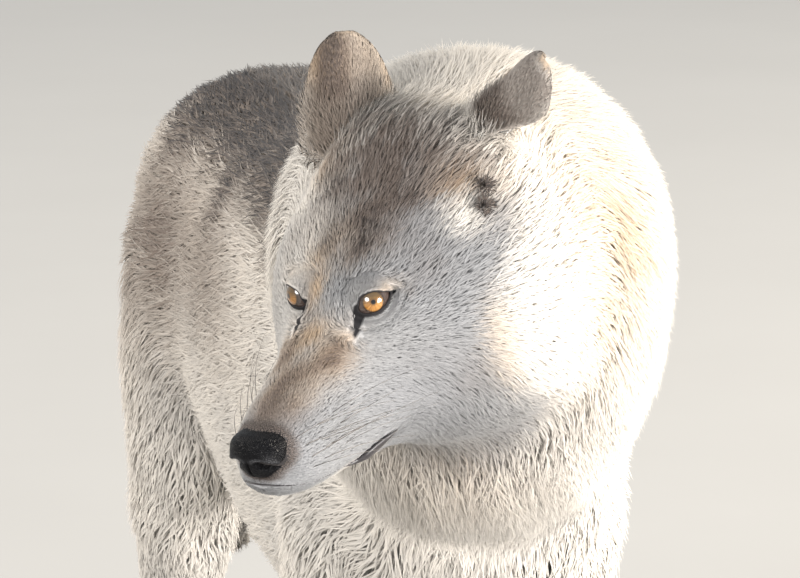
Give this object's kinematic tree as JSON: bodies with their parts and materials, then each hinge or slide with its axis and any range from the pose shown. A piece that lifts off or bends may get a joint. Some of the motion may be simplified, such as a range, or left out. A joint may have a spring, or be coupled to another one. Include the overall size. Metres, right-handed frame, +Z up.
{
  "type": "arctic wolf",
  "caption": "Life-size arctic wolf in full winter coat, standing still, head lowered and turned to its right, ears turned back, tail hanging.",
  "frame": {"origin": "on the floor, under the middle of the box round the wolf", "axes": "+Z up, the body faces -Y and its left side is +X"},
  "size_m": [0.39, 1.2508, 0.8987],
  "materials": {
    "coat": "long soft winter fur, cream white with tan and grey-brown tips",
    "ear_coat": "short dense fur, golden tan",
    "nose_leather": "black, pebbled, moist",
    "eye": "wet amber iris with a dark pupil",
    "claw": "dark horn, worn and half gloss"
  },
  "bodies": {
    "root": {"trunk": "coat", "neck": "coat", "tail": "coat", "lower_jaw": "coat", "head": "coat", "nose": "nose_leather", "eye_left": "eye", "eye_right": "eye", "ear_left": "ear_coat", "ear_right": "ear_coat", "shoulder_left": "coat", "forearm_left": "coat", "forepaw_left": "coat", "thigh_left": "coat", "shank_left": "coat", "hindpaw_left": "coat", "claw_forepaw_left_1": "claw", "claw_forepaw_left_2": "claw", "claw_forepaw_left_3": "claw", "claw_forepaw_left_4": "claw", "claw_hindpaw_left_1": "claw", "claw_hindpaw_left_2": "claw", "claw_hindpaw_left_3": "claw", "claw_hindpaw_left_4": "claw", "shoulder_right": "coat", "forearm_right": "coat", "forepaw_right": "coat", "thigh_right": "coat", "shank_right": "coat", "hindpaw_right": "coat", "claw_forepaw_right_1": "claw", "claw_forepaw_right_2": "claw", "claw_forepaw_right_3": "claw", "claw_forepaw_right_4": "claw", "claw_hindpaw_right_1": "claw", "claw_hindpaw_right_2": "claw", "claw_hindpaw_right_3": "claw", "claw_hindpaw_right_4": "claw"}
  },
  "joints": []
}
